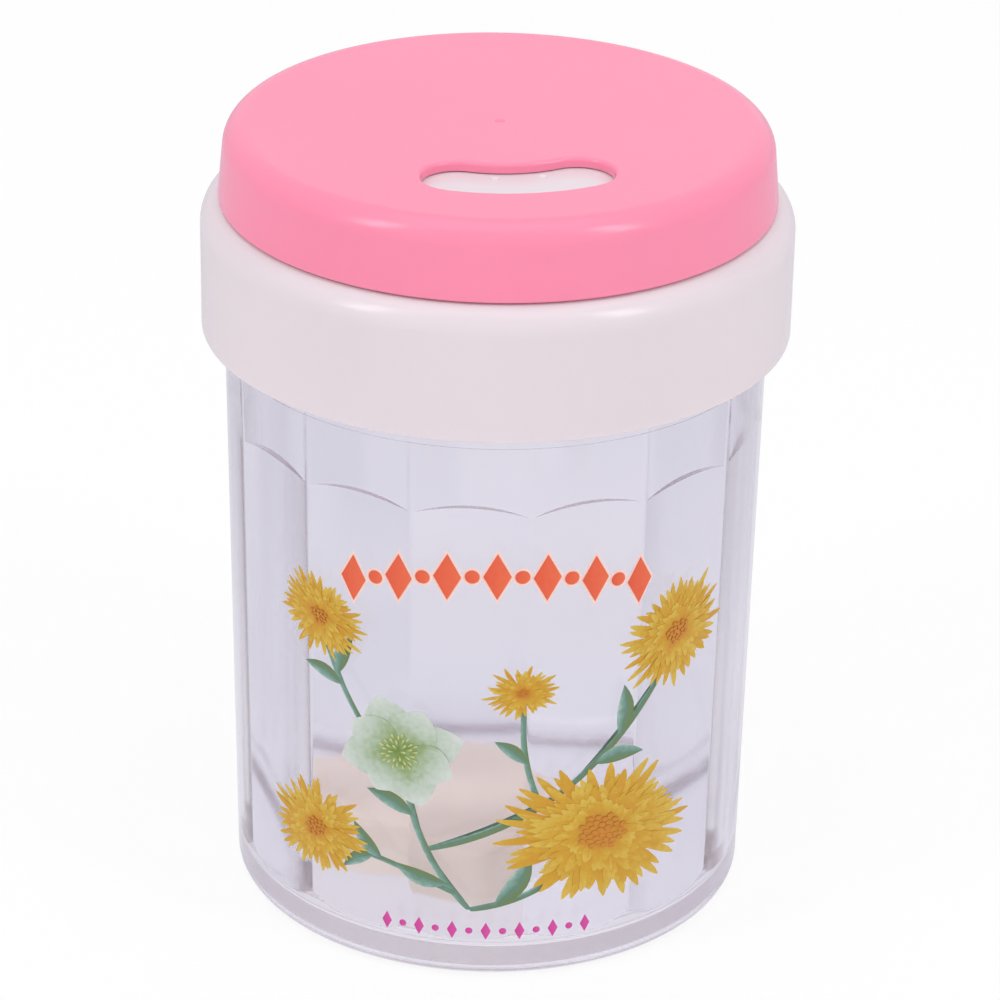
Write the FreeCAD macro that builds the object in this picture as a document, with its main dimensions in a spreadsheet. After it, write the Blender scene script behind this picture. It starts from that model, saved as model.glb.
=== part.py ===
"""Toothpick dispenser: a clear faceted jar, a push-on lid and a cap that turns on the lid.

The cap and the lid's deck each have one kidney-shaped slot. With the slots apart the
dispenser is shut, and with the slots in line the toothpicks shake out. Lengths are in
millimetres and angles in degrees. The origin is the middle of the foot ring, +Z is up,
and -Y is the front.
"""
import FreeCAD, Part

import math
import os
import re

import Sketcher
from FreeCAD import Placement, Rotation, Vector

# Each driving size: alias, value, meaning.
SIZES = [
    ("foot_radius", 29.57, "jar's outer radius at the table"),
    ("side_draft", 0.77, "lean of the jar's outer and inner wall"),
    ("jar_height", 81.9, "table to the jar's rim"),
    ("jar_wall", 1.6, "jar's wall between two flats"),
    ("floor_thickness", 1.5, "jar's floor"),
    ("foot_recess", 0.5, "table to the underside of the floor"),
    ("foot_ring", 3.0, "width of the ring that the jar stands on"),
    ("foot_round", 1.6, "outer edge of the foot"),
    ("floor_round", 4.5, "fillet between the floor and the cavity's wall"),
    ("gate_radius", 1.2, "moulding gate's nub under the floor"),
    ("gate_height", 0.3, "how far the nub stands down"),
    ("neck_length", 15.2, "rim down to the step below the neck"),
    ("neck_step", 0.1, "neck's surface in from the jar's wall"),
    ("neck_bead", 0.4, "height of the neck's snap bead"),
    ("bead_width", 1.6, "width of both snap beads at the root"),
    ("bead_drop", 3.9, "rim down to the middle of the neck's bead"),
    ("rim_round", 0.5, "both edges of the rim"),
    ("flat_count", 14, "flats around the cavity"),
    ("flat_depth", 0.66, "a flat's middle in from the cavity's round wall"),
    ("flat_drop", 7.6, "step below the neck down to the top of a flat's arch"),
    ("arch_rise", 1.1, "rise of an arch over the width of its flat"),
    ("lid_clearance", 0.1, "gap between the lid's bead and the neck's bead"),
    ("lid_bead", 0.4, "height of the lid's snap bead"),
    ("bead_pitch", 2.1, "neck's bead down to the lid's bead"),
    ("skirt_wall", 1.8, "lid's skirt"),
    ("skirt_depth", 13.3, "rim down to the skirt's lower lip"),
    ("shoulder_thickness", 1.8, "lid's shoulder on the rim"),
    ("shoulder_round", 3.0, "outer edge of the shoulder"),
    ("drum_inset", 1.0, "drum's wall in from the neck's surface"),
    ("drum_height", 7.33, "shoulder up to the deck's top"),
    ("drum_wall", 1.5, "drum's wall and deck"),
    ("drum_round", 1.8, "outer edge of the deck"),
    ("groove_depth", 0.5, "groove round the drum that holds the cap"),
    ("groove_width", 1.8, "width of that groove"),
    ("groove_rise", 2.4, "shoulder up to the middle of the groove"),
    ("mark_radius", 0.6, "ejector marks on the deck and gate mark on the cap"),
    ("mark_depth", 0.25, "depth of those marks"),
    ("mark_ring", 14.0, "radius that the deck's marks lie on"),
    ("mark_turn", 2.9, "first mark, from the front towards +X"),
    ("mark_step", 21.5, "angle from the first mark to the second"),
    ("running_gap", 0.15, "gap round the cap, on the drum, deck and shoulder"),
    ("cap_plate", 1.1, "cap's top"),
    ("cap_wall", 1.58, "cap's skirt at its open end"),
    ("cap_draft", 5.4, "lean of the cap's outer wall"),
    ("cap_round", 2.5, "outer edge of the cap's top"),
    ("cap_corner", 1.5, "fillet inside the cap"),
    ("hook_width", 1.0, "width of the cap's bead in the groove"),
    ("slot_inset", 12.47, "drum's wall in to the middle of the slots"),
    ("slot_width", 8.0, "width of both slots"),
    ("slot_span", 22.6, "middle of a slot to the centre of its round end"),
    ("slot_round", 0.5, "upper edge of the cap's slot"),
    ("deck_turn", 180.0, "deck's slot, from the front towards +X"),
    ("cap_turn", 12.3, "cap's slot at rest, from the front towards +X"),
    ("block_width", 22.9, "loose block's width, from its near side back"),
    ("block_height", 7.1, "loose block's thickness"),
    ("block_round", 2.0, "block's upright edges"),
    ("block_edge", 0.8, "block's upper edges"),
    ("block_offset", 4.1, "block's middle line in front of the jar's axis"),
    ("block_reach", 8.1, "jar's axis along the near side to its right end"),
    ("block_turn", 24.8, "block's near side, from the front towards -X"),
    ("block_clearance", 0.6, "block's corners in from the floor's fillet"),
]
ALIASES = {alias for alias, value, meaning in SIZES}

# Heights that follow from the driving sizes, as expressions.
FLOOR_TOP = "(foot_recess + floor_thickness)"
STEP_Z = "(jar_height - neck_length)"
BEAD_Z = "(jar_height - bead_drop)"
LIP_Z = "(jar_height - skirt_depth)"
LID_BEAD_Z = f"({BEAD_Z} - bead_pitch)"
SHOULDER_Z = "(jar_height + shoulder_thickness)"
GROOVE_Z = f"({SHOULDER_Z} + groove_rise)"
DECK_TOP = f"({SHOULDER_Z} + drum_height)"
DECK_FOOT = f"({DECK_TOP} - drum_wall)"
CAP_FOOT = f"({SHOULDER_Z} + running_gap)"
CAP_CEILING = f"({DECK_TOP} + running_gap)"
CAP_TOP = f"({CAP_CEILING} + cap_plate)"

# Radii.
FLOOR_R = f"(foot_radius - jar_wall + {FLOOR_TOP} * tan(side_draft))"
STEP_R = f"(foot_radius + {STEP_Z} * tan(side_draft))"
RIM_INNER_R = "(foot_radius - jar_wall + jar_height * tan(side_draft))"
NECK_R = f"({STEP_R} - neck_step)"
SKIRT_INNER_R = f"({NECK_R} + neck_bead + lid_clearance + lid_bead)"
SKIRT_R = f"({SKIRT_INNER_R} + skirt_wall)"
DRUM_R = f"({NECK_R} - drum_inset)"
DRUM_INNER_R = f"({DRUM_R} - drum_wall)"
GROOVE_R = f"({DRUM_R} - groove_depth)"
HOOK_R = f"({GROOVE_R} + running_gap)"
CAP_INNER_R = f"({DRUM_R} + running_gap)"
CAP_R = f"({CAP_INNER_R} + cap_wall)"
CAP_TOP_R = f"({CAP_R} - ({CAP_TOP} - {CAP_FOOT}) * tan(cap_draft))"
SLOT_R = f"({DRUM_R} - slot_inset)"

# A flat: half its width where it meets the round wall, and the arch at its top.
CAVITY_R = "(foot_radius - jar_wall)"
FLAT_R = f"({CAVITY_R} - flat_depth)"
FLAT_HALF = f"sqrt(flat_depth * (2 * {CAVITY_R} - flat_depth))"
ARCH_TOP = f"({STEP_Z} - flat_drop)"
ARCH_R = f"((({FLAT_HALF})^2 + arch_rise^2) / (2 * arch_rise))"

# The loose block's near side ends at the edge of the flat part of the floor.
CHORD_R = f"({FLOOR_R} - floor_round - block_clearance)"
BLOCK_SIDE = "(block_offset + block_width / 2)"
BLOCK_LEFT = f"(-1 * sqrt({CHORD_R}^2 - {BLOCK_SIDE}^2))"

UP = Vector(0, 0, 1)
NEAR = 1e-4

doc = FreeCAD.newDocument("dispenser")
sheet = doc.addObject("Spreadsheet::Sheet", "sizes")
for row, (alias, value, meaning) in enumerate(SIZES, start=1):
    sheet.set(f"A{row}", str(value))
    sheet.set(f"B{row}", meaning)
    sheet.setAlias(f"A{row}", alias)
doc.recompute()


def value_of(text):
    """The present value of an expression."""
    result = sheet.evalExpression(text)
    return float(getattr(result, "Value", result))


def bind(thing, prop, text):
    """Drive a property by an expression, with the sheet's name before each alias."""
    def named(word):
        return f"sizes.{word.group()}" if word.group() in ALIASES else word.group()
    thing.setExpression(prop, re.sub(r"[a-z_]+", named, text))


def new_body(label):
    body = doc.addObject("PartDesign::Body", label)
    body.Label = label
    return body


def origin_feature(body, role):
    return next(item for item in body.Origin.OriginFeatures if item.Role == role)


def new_sketch(body, name, role, rise=None, tilt_axis=UP, tilt=None):
    """A sketch on one of the body's origin planes, which may be raised and turned."""
    sketch = body.newObject("Sketcher::SketchObject", name)
    sketch.AttachmentSupport = [(origin_feature(body, role), "")]
    sketch.MapMode = "FlatFace"
    height = value_of(rise) if rise else 0
    angle = value_of(tilt) if tilt else 0
    sketch.AttachmentOffset = Placement(Vector(0, 0, height), Rotation(tilt_axis, angle))
    if rise:
        bind(sketch, "AttachmentOffset.Base.z", rise)
    if tilt:
        bind(sketch, "AttachmentOffset.Rotation.Angle", tilt)
    return sketch


def constrain(sketch, kind, *where, size=None):
    """Add a constraint, driven by an expression where it has a size."""
    if size is None:
        sketch.addConstraint(Sketcher.Constraint(kind, *where))
        return
    at = sketch.addConstraint(Sketcher.Constraint(kind, *where, value_of(size)))
    bind(sketch, f"Constraints[{at}]", size)


def outline(sketch, corners):
    """Close straight edges through corners, each a pair of expressions."""
    spots = [Vector(value_of(across), value_of(up), 0) for across, up in corners]
    for start, end in zip(spots, spots[1:] + spots[:1]):
        sketch.addGeometry(Part.LineSegment(start, end), False)
    for edge, corner in enumerate(corners):
        constrain(sketch, "Coincident", edge, 2, (edge + 1) % len(corners), 1)
        for kind, axis, size in zip(("DistanceX", "DistanceY"), (-2, -1), corner):
            if size == "0":
                constrain(sketch, "PointOnObject", edge, 1, axis)
            else:
                constrain(sketch, kind, -1, 1, edge, 1, size=size)


def revolve(body, name, corners):
    """Turn an outline in the XZ plane about the Z axis."""
    sketch = new_sketch(body, name + "_profile", "XZ_Plane")
    outline(sketch, corners)
    turned = body.newObject("PartDesign::Revolution", name)
    turned.Profile = sketch
    turned.ReferenceAxis = (origin_feature(body, "Z_Axis"), [""])
    turned.Angle = 360
    doc.recompute()


def must_change(body, name, before):
    """Stop if the last feature neither added nor took away anything."""
    if abs(body.Shape.Volume - before) < NEAR:
        raise RuntimeError(f"{name} changes nothing")


def pad(body, name, sketch, length):
    """Grow a sketch by a length, away from the middle of the body."""
    before = 0 if body.Shape.isNull() else body.Shape.Volume
    slab = body.newObject("PartDesign::Pad", name)
    slab.Profile = sketch
    bind(slab, "Length", length)
    doc.recompute()
    must_change(body, name, before)
    return slab


def pocket(body, name, sketch, depth=None):
    """Cut a sketch through all that lies beyond its plane, or to a depth behind it."""
    before = body.Shape.Volume
    cut = body.newObject("PartDesign::Pocket", name)
    cut.Profile = sketch
    if depth is None:
        cut.Type = "ThroughAll"
        cut.Reversed = True
    else:
        bind(cut, "Length", depth)
    doc.recompute()
    must_change(body, name, before)
    return cut


def pattern(body, name, feature, count, sweep="360"):
    """Repeat a feature about the Z axis."""
    before = body.Shape.Volume
    ring = body.newObject("PartDesign::PolarPattern", name)
    ring.Originals = [feature]
    ring.Axis = (origin_feature(body, "Z_Axis"), [""])
    bind(ring, "Angle", sweep)
    bind(ring, "Occurrences", count)
    body.Tip = ring
    doc.recompute()
    must_change(body, name, before)


def round_edges(body, name, size, is_wanted):
    """Fillet those edges of a body that pass a test."""
    base = body.Tip
    names = [f"Edge{at}" for at, edge in enumerate(base.Shape.Edges, start=1)
             if is_wanted(edge)]
    if not names:
        raise RuntimeError(f"{name} finds no edge")
    fillet = body.newObject("PartDesign::Fillet", name)
    fillet.Base = (base, names)
    bind(fillet, "Radius", size)
    doc.recompute()


def rings(*places):
    """A test for circles about the Z axis, each given by its radius and height."""
    known = [(value_of(radius), value_of(height)) for radius, height in places]

    def is_ring(edge):
        curve = edge.Curve
        return (isinstance(curve, Part.Circle)
                and math.hypot(curve.Center.x, curve.Center.y) < NEAR
                and any(abs(curve.Radius - radius) < NEAR
                        and abs(curve.Center.z - height) < NEAR
                        for radius, height in known))
    return is_ring


def slot_edges(height):
    """A test for the edges of a slot's outline at one height."""
    level = value_of(height)
    reach = value_of("slot_width / 2") + NEAR
    middle = value_of(SLOT_R)

    def is_edge(edge):
        return all(abs(corner.Z - level) < NEAR
                   and abs(math.hypot(corner.X, corner.Y) - middle) < reach
                   for corner in edge.Vertexes)
    return is_edge


def ridge(radius, height, width, rise, upwards=True):
    """Four corners of a ridge round a wall, or of a groove where rise is negative."""
    corners = [(radius, f"{height} - {width} / 2"),
               (f"{radius} + {rise}", f"{height} - {width} / 4"),
               (f"{radius} + {rise}", f"{height} + {width} / 4"),
               (radius, f"{height} + {width} / 2")]
    return corners if upwards else corners[::-1]


def kidney(sketch):
    """A round-ended slot bent about the Z axis, with its middle on -Y."""
    middle, half = value_of(SLOT_R), value_of("slot_width / 2")
    span, front = math.radians(value_of("slot_span")), -math.pi / 2
    first, last = front - span, front + span
    end = Vector(middle * math.cos(last), middle * math.sin(last), 0)
    other_end = Vector(-end.x, end.y, 0)
    for centre, radius, start, stop in (
            (Vector(), middle + half, first, last),
            (end, half, last, last + math.pi),
            (Vector(), middle - half, first, last),
            (other_end, half, first - math.pi, first)):
        sketch.addGeometry(Part.ArcOfCircle(Part.Circle(centre, UP, radius), start, stop))
    outer, right, inner, left = range(4)
    constrain(sketch, "Coincident", outer, 3, -1, 1)
    constrain(sketch, "Coincident", inner, 3, -1, 1)
    constrain(sketch, "Tangent", outer, 2, right, 1)
    constrain(sketch, "Tangent", right, 2, inner, 2)
    constrain(sketch, "Tangent", inner, 1, left, 1)
    constrain(sketch, "Tangent", left, 2, outer, 1)
    constrain(sketch, "Radius", outer, size=f"{SLOT_R} + slot_width / 2")
    constrain(sketch, "Radius", inner, size=f"{SLOT_R} - slot_width / 2")
    constrain(sketch, "DistanceX", -1, 1, right, 3, size=f"{SLOT_R} * sin(slot_span)")
    constrain(sketch, "DistanceX", left, 3, -1, 1, size=f"{SLOT_R} * sin(slot_span)")


def arched_panel(sketch):
    """The outline of one flat: straight sides, a foot in the floor and an arched top."""
    half, level_foot = f"({FLAT_HALF} + flat_depth / 4)", f"({FLOOR_TOP} / 2)"
    side, foot = value_of(half), value_of(level_foot)
    radius, centre = value_of(ARCH_R), value_of(f"{ARCH_TOP} - {ARCH_R}")
    lean = math.acos(side / radius)
    spring = centre + radius * math.sin(lean)
    circle = Part.Circle(Vector(0, centre, 0), UP, radius)
    sketch.addGeometry(Part.LineSegment(Vector(-side, foot, 0), Vector(side, foot, 0)))
    sketch.addGeometry(Part.LineSegment(Vector(side, foot, 0), Vector(side, spring, 0)))
    sketch.addGeometry(Part.ArcOfCircle(circle, lean, math.pi - lean))
    sketch.addGeometry(Part.LineSegment(Vector(-side, spring, 0), Vector(-side, foot, 0)))
    level, right, arch, left = range(4)
    constrain(sketch, "Coincident", level, 2, right, 1)
    constrain(sketch, "Coincident", right, 2, arch, 1)
    constrain(sketch, "Coincident", arch, 2, left, 1)
    constrain(sketch, "Coincident", left, 2, level, 1)
    constrain(sketch, "Vertical", right)
    constrain(sketch, "Vertical", left)
    constrain(sketch, "Symmetric", level, 1, level, 2, -2)
    constrain(sketch, "PointOnObject", arch, 3, -2)
    constrain(sketch, "DistanceX", -1, 1, level, 2, size=half)
    constrain(sketch, "DistanceY", -1, 1, level, 2, size=level_foot)
    constrain(sketch, "DistanceY", -1, 1, arch, 3, size=f"{ARCH_TOP} - {ARCH_R}")
    constrain(sketch, "Radius", arch, size=ARCH_R)


def make_jar():
    """Clear jar: round outside, flats with arched tops inside, and a beaded neck."""
    body = new_body("jar")
    revolve(body, "jar_wall_turned", [
        ("0", "foot_recess - gate_height"),
        ("gate_radius", "foot_recess - gate_height"),
        ("gate_radius", "foot_recess"),
        ("foot_radius - foot_ring", "foot_recess"),
        ("foot_radius - foot_ring", "0"),
        ("foot_radius", "0"),
        (STEP_R, STEP_Z),
        (NECK_R, STEP_Z),
        *ridge(NECK_R, BEAD_Z, "bead_width", "neck_bead"),
        (NECK_R, "jar_height"),
        (RIM_INNER_R, "jar_height"),
        (FLOOR_R, FLOOR_TOP),
        ("0", FLOOR_TOP),
    ])
    round_edges(body, "floor_fillet", "floor_round", rings((FLOOR_R, FLOOR_TOP)))
    round_edges(body, "foot_fillet", "foot_round", rings(("foot_radius", "0")))
    round_edges(body, "rim_fillet", "rim_round",
                rings((NECK_R, "jar_height"), (RIM_INNER_R, "jar_height")))
    panel = new_sketch(body, "flat_outline", "XZ_Plane", FLAT_R, Vector(1, 0, 0),
                       "side_draft")
    arched_panel(panel)
    flat = pad(body, "flat", panel, "flat_depth + jar_wall / 4")
    pattern(body, "flats", flat, "flat_count")


def make_lid():
    """White lid: skirt with a snap bead, shoulder on the rim, and the cap's drum."""
    body = new_body("lid")
    revolve(body, "lid_turned", [
        ("0", DECK_FOOT),
        (DRUM_INNER_R, DECK_FOOT),
        (DRUM_INNER_R, "jar_height"),
        (SKIRT_INNER_R, "jar_height"),
        *ridge(SKIRT_INNER_R, LID_BEAD_Z, "bead_width", "-1 * lid_bead", upwards=False),
        (SKIRT_INNER_R, LIP_Z),
        (SKIRT_R, LIP_Z),
        (SKIRT_R, SHOULDER_Z),
        (DRUM_R, SHOULDER_Z),
        *ridge(DRUM_R, GROOVE_Z, "groove_width", "-1 * groove_depth"),
        (DRUM_R, DECK_TOP),
        ("0", DECK_TOP),
    ])
    round_edges(body, "shoulder_fillet", "shoulder_round", rings((SKIRT_R, SHOULDER_Z)))
    round_edges(body, "deck_fillet", "drum_round", rings((DRUM_R, DECK_TOP)))
    slot = new_sketch(body, "deck_slot_outline", "XY_Plane", tilt="deck_turn")
    kidney(slot)
    pocket(body, "deck_slot", slot)
    spot = new_sketch(body, "ejector_outline", "XY_Plane", DECK_TOP)
    angle = "(mark_turn - 90)"
    across, up = f"mark_ring * cos({angle})", f"mark_ring * sin({angle})"
    centre = Vector(value_of(across), value_of(up), 0)
    spot.addGeometry(Part.Circle(centre, UP, value_of("mark_radius")))
    constrain(spot, "Radius", 0, size="mark_radius")
    constrain(spot, "DistanceX", -1, 1, 0, 3, size=across)
    constrain(spot, "DistanceY", -1, 1, 0, 3, size=up)
    mark = pocket(body, "ejector_mark", spot, "mark_depth")
    pattern(body, "ejector_marks", mark, "2", "mark_step")


def make_cap():
    """Pink cap: it turns on the drum, held by a bead in the drum's groove."""
    body = new_body("cap")
    revolve(body, "cap_turned", [
        ("0", CAP_CEILING),
        (CAP_INNER_R, CAP_CEILING),
        *ridge(CAP_INNER_R, GROOVE_Z, "hook_width", f"{HOOK_R} - {CAP_INNER_R}",
               upwards=False),
        (CAP_INNER_R, CAP_FOOT),
        (CAP_R, CAP_FOOT),
        (CAP_TOP_R, CAP_TOP),
        ("mark_radius", CAP_TOP),
        ("mark_radius", f"{CAP_TOP} - mark_depth"),
        ("0", f"{CAP_TOP} - mark_depth"),
    ])
    round_edges(body, "cap_fillet", "cap_round", rings((CAP_TOP_R, CAP_TOP)))
    round_edges(body, "cap_inner_fillet", "cap_corner", rings((CAP_INNER_R, CAP_CEILING)))
    slot = new_sketch(body, "cap_slot_outline", "XY_Plane")
    kidney(slot)
    pocket(body, "cap_slot", slot)
    round_edges(body, "cap_slot_fillet", "slot_round", slot_edges(CAP_TOP))
    body.Placement = Placement(Vector(), Rotation(UP, value_of("cap_turn")))
    bind(body, "Placement.Rotation.Angle", "cap_turn")


def make_loose_block():
    """Cream block that lies loose on the jar's floor."""
    body = new_body("loose_block")
    sketch = new_sketch(body, "block_outline", "XY_Plane")
    near, far = f"-1 * {BLOCK_SIDE}", f"block_width - {BLOCK_SIDE}"
    outline(sketch, [(BLOCK_LEFT, near), ("block_reach", near), ("block_reach", far),
                     (BLOCK_LEFT, far)])
    pad(body, "block", sketch, "block_height")
    top = value_of("block_height")
    round_edges(body, "block_corners", "block_round",
                lambda edge: abs(edge.Vertexes[0].Z - edge.Vertexes[-1].Z) > top / 2)
    round_edges(body, "block_edges", "block_edge",
                lambda edge: all(abs(corner.Z - top) < NEAR for corner in edge.Vertexes))
    body.Placement = Placement(Vector(0, 0, value_of(FLOOR_TOP)),
                               Rotation(-UP, value_of("block_turn")))
    bind(body, "Placement.Base.z", FLOOR_TOP)
    bind(body, "Placement.Rotation.Angle", "block_turn")


def check_and_write():
    """Stop on any failed object or bad shape, then write one file for each piece."""
    doc.recompute()
    for item in doc.Objects:
        if "Invalid" in item.State or "Error" in item.State:
            raise RuntimeError(f"{item.Label} failed: {item.State}")
    pieces = [item for item in doc.Objects if item.TypeId == "PartDesign::Body"]
    for piece in pieces:
        if piece.Shape.isNull() or not piece.Shape.isValid():
            raise RuntimeError(f"{piece.Label} has a bad shape")
    os.makedirs("parts", exist_ok=True)
    for piece in pieces:
        piece.Shape.exportStep(os.path.join("parts", piece.Label + ".step"))
        box = piece.Shape.BoundBox
        print(f"{piece.Label:12s} {len(piece.Shape.Solids)} solid, "
              f"{piece.Shape.Volume / 1000:7.2f} cm3, z {box.ZMin:.2f} to {box.ZMax:.2f}, "
              f"{box.XLength:.2f} x {box.YLength:.2f} mm")


make_jar()
make_lid()
make_cap()
make_loose_block()
check_and_write()
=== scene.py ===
# %% [markdown]
# # A toothpick dispenser
#
# The object has three mouldings: a clear jar with flats inside its wall, a white lid that
# is pushed on its neck, and a pink cap that turns on the lid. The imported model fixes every
# size and joint. This notebook shapes each piece again, as finely as a close view needs,
# gives it its finish, and prints flowers on the jar.

# %% Load the frame
import math
import random

import bmesh
import bpy
from mathutils import Matrix, Vector


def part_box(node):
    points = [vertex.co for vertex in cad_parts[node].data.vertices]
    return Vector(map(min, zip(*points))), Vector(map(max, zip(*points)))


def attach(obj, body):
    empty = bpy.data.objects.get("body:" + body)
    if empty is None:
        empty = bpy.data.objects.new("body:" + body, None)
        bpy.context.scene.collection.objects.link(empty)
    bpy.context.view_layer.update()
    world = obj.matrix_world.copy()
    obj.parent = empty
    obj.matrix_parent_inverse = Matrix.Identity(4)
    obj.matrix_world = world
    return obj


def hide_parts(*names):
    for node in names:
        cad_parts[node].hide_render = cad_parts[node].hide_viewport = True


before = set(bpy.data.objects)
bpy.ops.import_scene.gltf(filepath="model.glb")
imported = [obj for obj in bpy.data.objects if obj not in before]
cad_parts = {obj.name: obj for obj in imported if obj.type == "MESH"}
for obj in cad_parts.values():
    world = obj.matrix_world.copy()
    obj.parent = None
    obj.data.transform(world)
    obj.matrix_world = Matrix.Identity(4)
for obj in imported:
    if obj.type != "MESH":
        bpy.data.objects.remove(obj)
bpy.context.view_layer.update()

MM = 0.001
UP = Vector((0, 0, 1))
jar_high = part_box("jar")[1]
lid_low, lid_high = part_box("lid")
cap_low, cap_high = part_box("cap")
block_low, block_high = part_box("loose_block")
print("height in mm:", round(cap_high.z / MM, 2))
print("collar in mm:", round(2 * lid_high.x / MM, 2))

# %% [markdown]
# ## Colours
#
# A swatch is read off as red, green and blue from 0 to 255. Shaders add and
# multiply light, so they want linear values, and this helper converts a swatch once, along
# the curve that screens use.


# %% Convert a swatch
def swatch(red, green, blue):
    """A solid colour for a shader."""
    def linear(value):
        share = value / 255
        return share / 12.92 if share <= 0.04045 else ((share + 0.055) / 1.055) ** 2.4
    return linear(red), linear(green), linear(blue), 1.0


print("a middle grey sends back this share of the light:", round(swatch(128, 128, 128)[0], 3))

# %% [markdown]
# ## Writing shaders as sums
#
# A shader is a graph of nodes. Wrapping a socket in a small class lets the maths be
# written as Python expressions, and each expression adds its Math nodes.


# %% Wrap a socket
class Wire:
    """A shader socket that can stand in a sum."""

    def __init__(self, graph, socket):
        self.graph, self.socket = graph, socket

    def maths(self, operation, first, second):
        return self.graph.node("ShaderNodeMath", [first, second], operation=operation)

    def __add__(self, other):
        return self.maths("ADD", self, other)

    def __sub__(self, other):
        return self.maths("SUBTRACT", self, other)

    def __rsub__(self, other):
        return self.maths("SUBTRACT", other, self)

    def __mul__(self, other):
        return self.maths("MULTIPLY", self, other)

    __radd__ = __add__
    __rmul__ = __mul__


# %% [markdown]
# Every node comes from one method, which takes the node's type, its inputs and its
# settings. The other methods are short names for the few nodes that come up often.


# %% Wrap a node tree
class Graph:
    """The node tree of a material or of the world."""

    def __init__(self, owner):
        self.owner = owner
        owner.use_nodes = True
        self.tree = owner.node_tree
        self.tree.nodes.clear()

    def node(self, kind, inputs=(), output=0, **settings):
        """Add a node. Its inputs are numbers, colours or wires, in order or by name or number."""
        made = self.tree.nodes.new(kind)
        for key, value in settings.items():
            setattr(made, key, value)
        pairs = inputs.items() if isinstance(inputs, dict) else enumerate(inputs)
        for key, value in pairs:
            if isinstance(value, Wire):
                self.tree.links.new(value.socket, made.inputs[key])
            else:
                made.inputs[key].default_value = value
        return Wire(self, made.outputs[output]) if made.outputs else None

    def place(self):
        """Where a point lies on the piece, in metres."""
        return self.node("ShaderNodeTexCoord", output="Object")

    def noise(self, scale, detail=2.0, stretch=(1, 1, 1)):
        """Soft random patches about 1 / scale metres across."""
        spread = self.node("ShaderNodeMapping", {"Vector": self.place(), "Scale": stretch})
        return self.node("ShaderNodeTexNoise",
                         {"Vector": spread, "Scale": scale, "Detail": detail})

    def mix(self, share, first, second):
        """Fade from one colour to another."""
        return self.node("ShaderNodeMix", {0: share, 6: first, 7: second}, output=2,
                         data_type="RGBA")

    def ramp(self, share, *stops):
        """Fade through several colours, each with its place from 0 to 1."""
        wire = self.node("ShaderNodeValToRGB", [share])
        elements = wire.socket.node.color_ramp.elements
        while len(elements) < len(stops):
            elements.new(0.5)
        for element, (place, colour) in zip(elements, stops):
            element.position, element.color = place, colour
        return wire

    def bump(self, height, depth, strength=1.0):
        """Raise and lower the surface by up to a depth in metres."""
        return self.node("ShaderNodeBump",
                         {"Strength": strength, "Distance": depth, "Height": height})

    def plastic(self, **sockets):
        """The surface shader, with each socket's name written with underscores."""
        return self.node("ShaderNodeBsdfPrincipled", {
            name.replace("_", " "): value for name, value in sockets.items()})

    def finish(self, surface, **more):
        """Close the tree with its surface, and with a volume if it has one."""
        kind = "World" if isinstance(self.owner, bpy.types.World) else "Material"
        self.node("ShaderNodeOutput" + kind, {"Surface": surface, **more})
        return self.owner


# %% [markdown]
# ## The solid colours
#
# All three mouldings are glossy plastic, but none is perfectly even. The pink and the
# white let a little light in under the surface, and a shallow ripple breaks up their
# reflections, so one recipe with other numbers makes both.

# %% Pink and white plastic
GLOSS, GRAIN, RIPPLE_DEPTH = 0.18, 0.08, 0.00003


def glossy_plastic(name, colours, patches, grain, ripples, glow, reach):
    """Plastic with some patches, grains and ripples to a metre. Its glow is the share of
    light that goes in under the surface, and its reach is how far red, green and blue go."""
    graph = Graph(bpy.data.materials.new(name))
    return graph.finish(graph.plastic(
        Base_Color=graph.mix(graph.noise(patches, 1.0), *colours),
        Roughness=GLOSS + GRAIN * graph.noise(grain, 3.0),
        Normal=graph.bump(graph.noise(ripples, 1.0), RIPPLE_DEPTH, 0.3),
        IOR=1.49, Subsurface_Weight=glow, Subsurface_Radius=reach, Subsurface_Scale=1.0))


def pink_plastic():
    return glossy_plastic("pink_plastic", (swatch(255, 139, 170), swatch(255, 145, 176)),
                          patches=30, grain=200, ripples=70, glow=0.12,
                          reach=(0.004, 0.0015, 0.002))


def white_plastic():
    return glossy_plastic("white_plastic", (swatch(225, 214, 220), swatch(229, 219, 224)),
                          patches=28, grain=180, ripples=60, glow=0.15,
                          reach=(0.003, 0.0025, 0.0025))


PINK, WHITE = pink_plastic(), white_plastic()
print("solid colours:", PINK.name, WHITE.name)

# %% [markdown]
# ## The clear plastic and the foam
#
# The clear plastic is a trace lilac, and greyer where light runs further through it, as in
# the foot. Light from a lamp can't bend through it to what lies inside, so for such rays
# alone it is an open window. The loose block reads as a matt cream foam, whose small cells
# roughen it.


# %% Clear plastic and cream foam
def clear_plastic():
    graph = Graph(bpy.data.materials.new("clear_plastic"))
    streaks = graph.noise(120, 3.0, stretch=(1, 1, 0.15))
    tint = graph.mix(streaks, swatch(245, 244, 248), swatch(248, 247, 251))
    ripple = graph.bump(graph.noise(90, 2.0, stretch=(1, 1, 0.3)), RIPPLE_DEPTH, 0.25)
    glass = graph.plastic(Base_Color=tint, Roughness=0.09, Normal=ripple, IOR=1.5,
                          Transmission_Weight=1.0)
    window = graph.node("ShaderNodeBsdfTransparent", {"Color": swatch(250, 249, 252)})
    lamp_ray = graph.node("ShaderNodeLightPath", output="Is Shadow Ray")
    depth = graph.node("ShaderNodeVolumeAbsorption",
                       {"Color": (0.79, 0.73, 0.74, 1), "Density": 16.0})
    return graph.finish(graph.node("ShaderNodeMixShader", [lamp_ray, glass, window]),
                        Volume=depth)


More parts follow.
